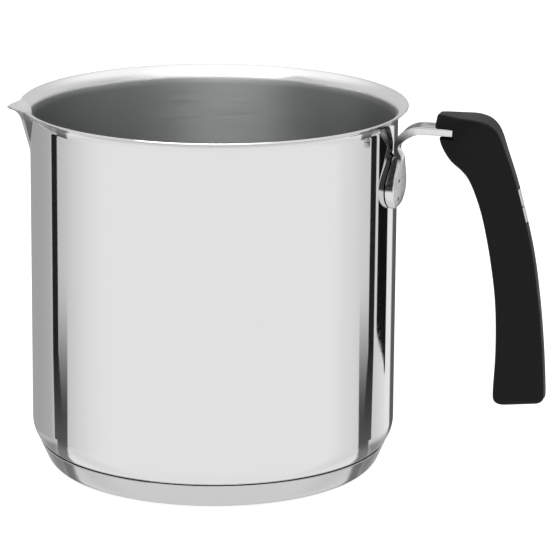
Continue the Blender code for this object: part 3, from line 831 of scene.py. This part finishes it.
def bracket_rows():
    """Rows from the pad's foot to the channel's end: place of the face, half width, depth and bend."""
    rows = []
    for out, up, half in PAD_RAIL_SHARES:
        reach = PAD_STANDOFF * out
        place = (PAD_INNER + reach, PAD_FOOT + PAD_HEIGHT * up)
        rows.append((*place, PAD_WIDTH / 2 * half, reach + NECK_DEPTH, 0))
    for out, up, half, depth, bend in NECK_RAIL_SHARES:
        place = (PAD_FACE + NECK_REACH * out, PAD_TOP + NECK_RISE * up)
        rows.append((*place, NECK_WIDTH / 2 * half, NECK_DEPTH * depth, QUARTER * bend))
    rows.append((FLANGE_END, NECK_UNDER, NECK_WIDTH / 2, NECK_END_DEPTH, QUARTER))
    return rows


def bracket_stations():
    """The rows joined by a smooth curve."""
    rows = bracket_rows()
    steps = BRACKET_STEPS_PER_RAIL * (len(rows) - 1)
    return [blend_rows(rows, i / steps) for i in range(steps + 1)]


def hollow_stations():
    """Stations halfway between the bracket's own, on past its open end."""
    stations = bracket_stations()
    between = [[(a + b) / 2 for a, b in zip(*pair)] for pair in zip(stations, stations[1:])]
    beyond = [stations[-1][0] + SLOT_OVERRUN] + stations[-1][1:]
    return between + [beyond]


def bracket_point(station, across, down):
    """The place of a point of the bracket's section; down runs from the face to the open side."""
    x, z, _, _, bend = station
    return x - down * math.cos(bend), across, z + down * math.sin(bend)


def bracket_ring(build, station):
    """One ring of the bracket's outside: a face with round edges, sides, a back that follows the wall."""
    _, _, half, depth, bend = station
    edge = PAD_EDGE_RADIUS + (NECK_EDGE_RADIUS - PAD_EDGE_RADIUS) * bend / QUARTER
    edge = min(edge, half / 2, depth / 2)
    tip = min(SHEET_EDGE_ROUND, half / 4)
    side = arc((half - edge, edge), edge, -QUARTER, 0, LIP_STEPS)
    side += arc((half - tip, depth - tip), tip, 0, QUARTER, LIP_STEPS) + [(half / 2, depth)]
    outline = side + [(0, depth)] + [(-across, down) for across, down in reversed(side)]
    ring = []
    for across, down in outline:
        x, y, z = bracket_point(station, across, down)
        ring.append(build.verts.new((max(x, math.sqrt(PAD_INNER**2 - y**2)), y, z)))
    return ring


def hollow_ring(build, station):
    """One ring of the hollow behind the face, a sheet's thickness inside the bracket's outside."""
    x, z, half, depth, bend = station
    low = max(0, (PAD_WIDEST - z) / (PAD_WIDEST - PAD_FOOT))
    inner = half - BRACKET_SHEET * (2 * half / PAD_WIDTH if low else 1)
    lifted = (x, z + BRACKET_SHEET * low, half, depth, bend)
    curve = min(HOLLOW_ROUND, inner / 2)
    side = arc((inner - curve, BRACKET_SHEET + curve), curve, -QUARTER, 0, LIP_STEPS)
    side.append((inner, depth + SLOT_OVERRUN))
    outline = side + [(-across, down) for across, down in reversed(side)]
    return [build.verts.new(bracket_point(lifted, across, down)) for across, down in outline]


def swept_mesh(stations, ring_maker):
    """A closed skin through the rings of the stations."""
    build = bmesh.new()
    return capped_skin(build, [ring_maker(build, station) for station in stations])


def tongue_mesh():
    """The narrow tongue that carries the web on into the grip, with a round end."""
    half = TONGUE_WIDTH / 2
    start = FLANGE_END - TONGUE_TUCK
    outline = arc((TONGUE_END - half, 0), half, -QUARTER, QUARTER, ARC_STEPS)
    outline += [(start, half), (start, -half)]
    return prism_mesh(outline, lambda point, depth: (point[0], point[1], depth), TONGUE_BOTTOM, TONGUE_TOP)


def face_reach(height):
    """How far out the pad's face stands at a height."""
    return min(bracket_stations(), key=lambda station: abs(station[1] - height))[0]


def weld_mark_mesh(height):
    """A ball whose cap presses one spot weld's mark into the pad."""
    radius = (WELD_MARK_RADIUS**2 + WELD_MARK_DEPTH**2) / (2 * WELD_MARK_DEPTH)
    profile = [(0, -radius)] + arc((0, 0), radius, -QUARTER, QUARTER, BALL_STEPS)[1:-1] + [(0, radius)]
    build = turned_mesh(profile, even_turns(2 * BALL_STEPS))
    place = (face_reach(height) - WELD_MARK_DEPTH + radius, WELD_MARK_SIDE, height)
    bmesh.ops.translate(build, verts=build.verts, vec=place)
    return build


def make_bracket_sheet(steel):
    """Dished pad, channel neck and tongue in one pressing, with its weld marks."""
    bracket = add_object("bracket_sheet", swept_mesh(bracket_stations(), bracket_ring), (steel,))
    combine(bracket, tongue_mesh(), "UNION")
    combine(bracket, rod_mesh(SCREW_RADIUS + SEAT_GAP, SCREW_SEAT, SCREW_TIP))
    for height in WELD_MARK_HEIGHTS:
        combine(bracket, weld_mark_mesh(height))
    combine(bracket, swept_mesh(hollow_stations(), hollow_ring))
    seat_piece(bracket, "handle_bracket")


# Grip

def blend_rows(rows, share):
    """A smooth curve through rows of numbers, read at a share of its length in rows."""
    place = share * (len(rows) - 1)
    i = min(int(place), len(rows) - 2)
    t = place - i
    p0, p1, p2, p3 = rows[max(i - 1, 0)], rows[i], rows[i + 1], rows[min(i + 2, len(rows) - 1)]
    return [
        b + t * (c - a + t * (2 * a - 5 * b + 4 * c - d + t * (3 * (b - c) + d - a))) / 2
        for a, b, c, d in zip(p0, p1, p2, p3)
    ]


def grip_station(share):
    """The grip's underside point, outside point, half breadth and the outside's share of the breadth."""
    in_x, in_z, out_x, out_z, breadth, outside = blend_rows(GRIP_RAIL_SHARES, share)
    inner = Vector((HEAD_FRONT + GRIP_SPAN * in_x, 0, GRIP_TOP - GRIP_DROP * in_z))
    outer = Vector((HEAD_FRONT + GRIP_SPAN * out_x, 0, GRIP_TOP - GRIP_DROP * out_z))
    return inner, outer, breadth * GRIP_WIDTH / 2, outside


def squared_circle(turn):
    """A point of a unit circle drawn out towards its square, sharper on the grip's outside."""
    across, along = math.cos(turn), math.sin(turn)
    power = 2 / (GRIP_RIDGE_SQUARENESS if along > 0 else GRIP_SQUARENESS)
    return math.copysign(abs(across) ** power, across), math.copysign(abs(along) ** power, along)


def grip_ring(build, share, inset=0.0, push=0.0):
    """One ring of the grip, drawn in by an inset and pushed along the grip."""
    inner, outer, half, outside = grip_station(share)
    middle, depth = (inner + outer) / 2, (outer - inner) / 2
    ahead = depth.cross(Vector((0, 1, 0))).normalized() * push
    depth *= 1 - inset / depth.length
    ring = []
    for turn in even_turns(GRIP_SECTION_STEPS):
        across, along = squared_circle(turn)
        across *= (half - inset) * (1 - (1 - outside) * (1 + along) / 2)
        place = middle + ahead + depth * along + Vector((0, across, 0))
        ring.append(build.verts.new(place))
    return ring


def rounded_ring(build, share, radius, turn):
    """A ring of the round that closes an end of the grip, at a turn from its side to its face."""
    way = 1 if share == 0 else -1
    return grip_ring(build, share, radius * (1 - math.cos(turn)), way * radius * math.sin(turn))


def grip_mesh():
    """The grip's rings from the front of the head to the free end, both ends rounded over."""
    build = bmesh.new()
    steps = GRIP_STEPS_PER_RAIL * (len(GRIP_RAIL_SHARES) - 1)
    rounding = [QUARTER * i / LIP_STEPS for i in range(1, LIP_STEPS + 1)]
    rings = []
    for turn in reversed(rounding):
        rings.append(rounded_ring(build, 0, HEAD_END_RADIUS, turn))
    for i in range(steps + 1):
        rings.append(grip_ring(build, i / steps))
    for turn in rounding:
        rings.append(rounded_ring(build, 1, GRIP_END_RADIUS, turn))
    return capped_skin(build, rings)


def make_grip_moulding(resin):
    """The moulded grip with its flange slot, tongue pocket, screw well and badge recess."""
    grip = add_object("grip_moulding", grip_mesh(), (resin,))
    overrun = SLOT_OVERRUN
    slot = box_mesh(
        (HEAD_FRONT - overrun, -GRIP_WIDTH, NECK_UNDER - SEAT_GAP),
        (FLANGE_END + SEAT_GAP, GRIP_WIDTH, NECK_TOP + SEAT_GAP),
    )
    pocket_half = TONGUE_WIDTH / 2 + SEAT_GAP
    pocket = box_mesh(
        (HEAD_FRONT - overrun, -pocket_half, TONGUE_BOTTOM - SEAT_GAP),
        (TONGUE_END + SEAT_GAP, pocket_half, TONGUE_TOP + SEAT_GAP),
    )
    bore = rod_mesh(SCREW_RADIUS + SEAT_GAP, SCREW_SEAT - overrun, SCREW_TIP + SEAT_GAP)
    well = rod_mesh(SCREW_HEAD_RADIUS + SEAT_GAP, SCREW_SEAT - 2 * overrun, SCREW_SEAT)
    recess = badge_mesh(SEAT_GAP, 0.0)
    for build in (slot, pocket, bore, well, recess):
        combine(grip, build)
    grip.visible_glossy = False
    seat_piece(grip, "handle_grip")


# Badge, screw and washer

def badge_section(half, low, high, radius):
    """The plate across its length, its outer edges rounded."""
    if radius == 0:
        return [(-half, low), (half, low), (half, high), (-half, high)]
    right = arc((half - radius, high - radius), radius, 0, QUARTER, LIP_STEPS)
    left = arc((radius - half, high - radius), radius, QUARTER, 2 * QUARTER, LIP_STEPS)
    return [(-half, low), (half, low)] + right + left


def badge_mesh(clearance, radius):
    """The badge plate bent along the outside of the grip, or its recess when there is a clearance."""
    build = bmesh.new()
    half = BADGE_WIDTH / 2 + clearance
    spare = clearance / GRIP_DROP
    low, high = -(BADGE_THICKNESS - BADGE_PROUD + clearance), BADGE_PROUD + clearance
    start, end = BADGE_START_SHARE - spare, BADGE_END_SHARE + spare
    rings = []
    for share in spread(start, end, BADGE_STEPS) + [end]:
        inner, outer, _, _ = grip_station(share)
        out = (outer - inner).normalized()
        section = badge_section(half, low, high, radius)
        rings.append([build.verts.new(outer + out * up + Vector((0, side, 0))) for side, up in section])
    return capped_skin(build, rings)


def make_badge_plate(steel):
    """The plain plate on the outside of the grip."""
    badge = add_object("badge_plate", badge_mesh(0.0, BADGE_EDGE_ROUND), (steel,))
    badge.visible_glossy = False
    seat_piece(badge, "handle_badge")


def screw_axis_mesh(profile):
    """Turn a profile about the screw's axis."""
    build = turned_mesh(profile, even_turns(ROUND_STEPS))
    bmesh.ops.translate(build, verts=build.verts, vec=(SCREW_AXIS, 0, 0))
    return build


def make_grip_washer(plating):
    """The flat washer between the screw's head and its seat in the grip."""
    top = SCREW_SEAT - SEAT_GAP
    bottom = top - WASHER_THICKNESS
    inner, outer, radius = SCREW_RADIUS + SEAT_GAP, SCREW_HEAD_RADIUS, WASHER_EDGE_ROUND
    profile = [(inner, bottom)]
    profile += arc((outer - radius, bottom + radius), radius, -QUARTER, 0, LIP_STEPS)
    profile += arc((outer - radius, top - radius), radius, 0, QUARTER, LIP_STEPS)
    profile += [(inner, top)]
    washer = add_object("grip_washer", screw_axis_mesh(profile), (plating,))
    seat_piece(washer, "screw_washer")


def thread_profile(start, end):
    """The shank's outline with the thread's ridges, from its start to its end."""
    points = []
    count = int((end - start) / THREAD_PITCH)
    for i in range(count):
        level = start + i * THREAD_PITCH
        points += [(SCREW_RADIUS, level), (SCREW_RADIUS - THREAD_DEPTH, level + THREAD_PITCH / 2)]
    return points + [(SCREW_RADIUS, start + count * THREAD_PITCH)]


def make_grip_screw(plating):
    """The slotted pan head screw, head down, its shank threaded at the tip."""
    shoulder = SCREW_SEAT - 2 * SEAT_GAP - WASHER_THICKNESS
    foot = shoulder - SCREW_HEAD_HEIGHT
    round_over = SCREW_HEAD_HEIGHT / 2
    corner = (SCREW_HEAD_RADIUS - round_over, foot + round_over)
    profile = [(0, foot)] + arc(corner, round_over, -QUARTER, 0, ARC_STEPS)
    profile += [(SCREW_HEAD_RADIUS, shoulder), (SCREW_RADIUS, shoulder)]
    profile += thread_profile(shoulder + SCREW_SEAT_DEPTH / 2, SCREW_TIP - THREAD_PITCH)
    profile += [(SCREW_RADIUS - THREAD_PITCH, SCREW_TIP), (0, SCREW_TIP)]
    screw = add_object("grip_screw", screw_axis_mesh(profile), (plating,))
    half = SCREW_SLOT_WIDTH / 2
    reach = 2 * SCREW_HEAD_RADIUS
    slot = box_mesh(
        (SCREW_AXIS - half, -reach, foot - SCREW_SLOT_DEPTH),
        (SCREW_AXIS + half, reach, foot + SCREW_SLOT_DEPTH),
    )
    combine(screw, slot)
    seat_piece(screw, "handle_screw")


# Studio

def ray_direction(tree):
    """The turn from the camera's direction and the height of the ray, both in degrees."""
    parts = split(tree, add_node(tree, "ShaderNodeTexCoord").outputs["Generated"])
    cos, sin = math.cos(CAMERA_SIDE_TURN), math.sin(CAMERA_SIDE_TURN)
    along = calc(tree, "ADD", product(tree, parts["X"], cos), product(tree, parts["Y"], sin))
    across = calc(tree, "ADD", product(tree, parts["X"], -sin), product(tree, parts["Y"], cos))
    turn = calc(tree, "DEGREES", calc(tree, "ARCTAN2", across, along))
    height = calc(tree, "DEGREES", calc(tree, "ARCSINE", parts["Z"]))
    return turn, height


def past(tree, value, limit, softness):
    """One where a value is past a limit, zero before it, with a soft step."""
    return ease(tree, calc(tree, "SUBTRACT", value, limit), -softness, softness)


def flag_mask(tree, aside, height):
    """Where the two dark upright flags stand, above the sweep of their feet."""
    outer = table(tree, height, FLAG_OUTER_TURNS)
    inner = table(tree, height, FLAG_INNER_TURNS)
    soft = FLAG_SOFTNESS
    above = past(tree, height, FLAG_OUTER_TURNS[0][0], soft)
    return product(tree, past(tree, aside, inner, soft), past(tree, outer, aside, soft), above)


def sweep_masks(tree, aside, height):
    """Where the flags' feet sweep outward, as the base's round mirrors them, and what lies above that."""
    depth = product(tree, height, -1.0)
    top = table(tree, aside, SWEEP_HIGH_DEPTHS)
    bottom = table(tree, aside, SWEEP_LOW_DEPTHS)
    below_top = past(tree, depth, top, SWEEP_SOFTNESS)
    sweep = product(tree, below_top, past(tree, bottom, depth, SWEEP_SOFTNESS))
    outward, low = ease(tree, aside, *SIDE_TURNS), ease(tree, height, *SIDE_HEIGHTS)
    return sweep, product(tree, calc(tree, "SUBTRACT", 1.0, below_top), outward, low)


def band_mask(tree, turn, height):
    """Where the black band beside the handle stands, down to its pointed end."""
    start = blend(tree, ease(tree, height, *BAND_HEIGHTS), BAND_TIP_TURN, BAND_INNER_TURN)
    inside = past(tree, turn, start, FLAG_SOFTNESS)
    before = ease(tree, turn, BAND_OUTER_TURN + FLAG_SOFTNESS, BAND_OUTER_TURN - FLAG_SOFTNESS)
    above = ease(tree, height, BAND_HEIGHTS[0] - BAND_TIP_SOFTNESS, BAND_HEIGHTS[0])
    return product(tree, inside, before, above)


def room_tone(tree, turn, aside, height):
    """The tone of the room at the pan's own height and below, with its dark flags and band."""
    tone = table(tree, turn, ROOM_TONES)
    tone = blend(tree, ease(tree, height, *LOW_HEIGHTS), tone, table(tree, aside, LOW_TONES))
    tone = blend(tree, ease(tree, height, *DEEP_HEIGHTS), tone, DEEP_TONE)
    sweep, side = sweep_masks(tree, aside, height)
    tone = blend(tree, side, tone, SIDE_TONE)
    flags = calc(tree, "MAXIMUM", flag_mask(tree, aside, height), sweep)
    tone = blend(tree, flags, tone, table(tree, height, FLAG_TONES))
    return blend(tree, band_mask(tree, turn, height), tone, BAND_TONE)


def studio_tone(tree):
    """The tone that the polished steel mirrors in each direction."""
    turn, height = ray_direction(tree)
    tone = room_tone(tree, turn, calc(tree, "ABSOLUTE", turn), height)
    off_centre = calc(tree, "ABSOLUTE", calc(tree, "SUBTRACT", turn, HIGH_CENTRE_TURN))
    tone = blend(tree, ease(tree, height, *HIGH_HEIGHTS), tone, table(tree, off_centre, HIGH_TONES))
    tone = blend(tree, ease(tree, height, *CEILING_HEIGHTS), tone, CEILING_TONE)
    turns, heights = window(tree, turn, *SCREEN_TURNS), window(tree, height, *SCREEN_HEIGHTS)
    return blend(tree, product(tree, turns, heights), tone, SCREEN_TONE)


def make_world():
    """White behind the pan, even soft light on it, and the studio in its reflections."""
    world = bpy.data.worlds.new("studio")
    bpy.context.scene.world = world
    world.use_nodes = True
    tree = world.node_tree
    path = add_node(tree, "ShaderNodeLightPath").outputs
    tone = blend(tree, path["Is Glossy Ray"], SOFT_LIGHT_TONE, studio_tone(tree))
    tone = blend(tree, path["Is Camera Ray"], tone, BACKDROP_TONE)
    feed(tree, tree.nodes["Background"].inputs["Color"], tone)


def make_lamps():
    """Soft area lamps; all but the one for the pan's inside stay out of the reflections."""
    inside = bpy.data.collections.new("inside_light")
    inside.objects.link(bpy.data.objects["pan_shell"])
    for name, place, power, side, for_inside in LAMPS:
        lamp = bpy.data.lights.new(name, "AREA")
        lamp.energy = power
        lamp.size = side
        thing = bpy.data.objects.new(name, lamp)
        bpy.context.scene.collection.objects.link(thing)
        thing.location = place
        away = Vector(LAMP_TARGET) - Vector(place)
        thing.rotation_euler = away.to_track_quat("-Z", "Y").to_euler()
        thing.visible_glossy = for_inside
        if for_inside:
            thing.light_linking.receiver_collection = inside


def floor_material():
    """A white floor that keeps the pan's shadow and is a shade brighter to the camera."""
    tree, shader, material = start_material("floor", FLOOR_COLOUR, 0.0)
    shader.inputs["Roughness"].default_value = FLOOR_ROUGHNESS
    shader.inputs["Specular IOR Level"].default_value = 0.0
    path = add_node(tree, "ShaderNodeLightPath").outputs
    shader.inputs["Emission Color"].default_value = GLOW_COLOUR
    feed(tree, shader.inputs["Emission Strength"], product(tree, path["Is Camera Ray"], FLOOR_GLOW))
    return material


def make_floor():
    """A wide disc just under the pan."""
    build = bmesh.new()
    centre = build.verts.new((0, 0, -FLOOR_DROP))
    places = [arc_point((0, 0), FLOOR_RADIUS, turn) for turn in even_turns(FLOOR_STEPS)]
    bridge_rings(build, [[centre], [build.verts.new((*place, -FLOOR_DROP)) for place in places]])
    floor = add_object("floor", build, (floor_material(),))
    floor.visible_glossy = False


def make_camera():
    """The camera, at the place and angle worked out for the picture."""
    data = bpy.data.cameras.new("camera")
    data.lens = CAMERA_LENS
    data.sensor_width = CAMERA_SENSOR
    data.clip_start = CAMERA_NEAR
    data.clip_end = CAMERA_FAR
    camera = bpy.data.objects.new("camera", data)
    bpy.context.scene.collection.objects.link(camera)
    bpy.context.scene.camera = camera
    flat = math.cos(CAMERA_PITCH)
    ahead = Vector((-math.sin(CAMERA_TURN) * flat, math.cos(CAMERA_TURN) * flat, -math.sin(CAMERA_PITCH)))
    level_right = Vector((math.cos(CAMERA_TURN), math.sin(CAMERA_TURN), 0))
    level_up = level_right.cross(ahead)
    right = level_right * math.cos(CAMERA_ROLL) + level_up * math.sin(CAMERA_ROLL)
    up = level_up * math.cos(CAMERA_ROLL) - level_right * math.sin(CAMERA_ROLL)
    turn = Matrix((right, up, -ahead)).transposed()
    camera.matrix_world = Matrix.Translation(CAMERA_PLACE) @ turn.to_4x4()


def main():
    """Build the finished pieces and the studio."""
    mirror = mirror_steel("mirror_steel", MIRROR_COLOUR, MIRROR_ROUGHNESS, MIRROR_RIPPLE)
    cap_steel = mirror_steel("cap_steel", CAP_COLOUR, CAP_ROUGHNESS, CAP_RIPPLE)
    bracket = bracket_steel()
    plating = zinc_plating()
    make_pan_shell(mirror, shaded_satin_steel())
    make_base_cap_shell(cap_steel)
    make_bracket_sheet(bracket)
    make_grip_moulding(black_resin())
    make_badge_plate(bracket)
    make_grip_washer(plating)
    make_grip_screw(plating)
    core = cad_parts["heat_spreader_disc"]
    core.data.materials.clear()
    core.data.materials.append(rolled_aluminium())
    make_world()
    make_lamps()
    make_floor()
    make_camera()
    bpy.context.scene.view_settings.view_transform = "Standard"


main()
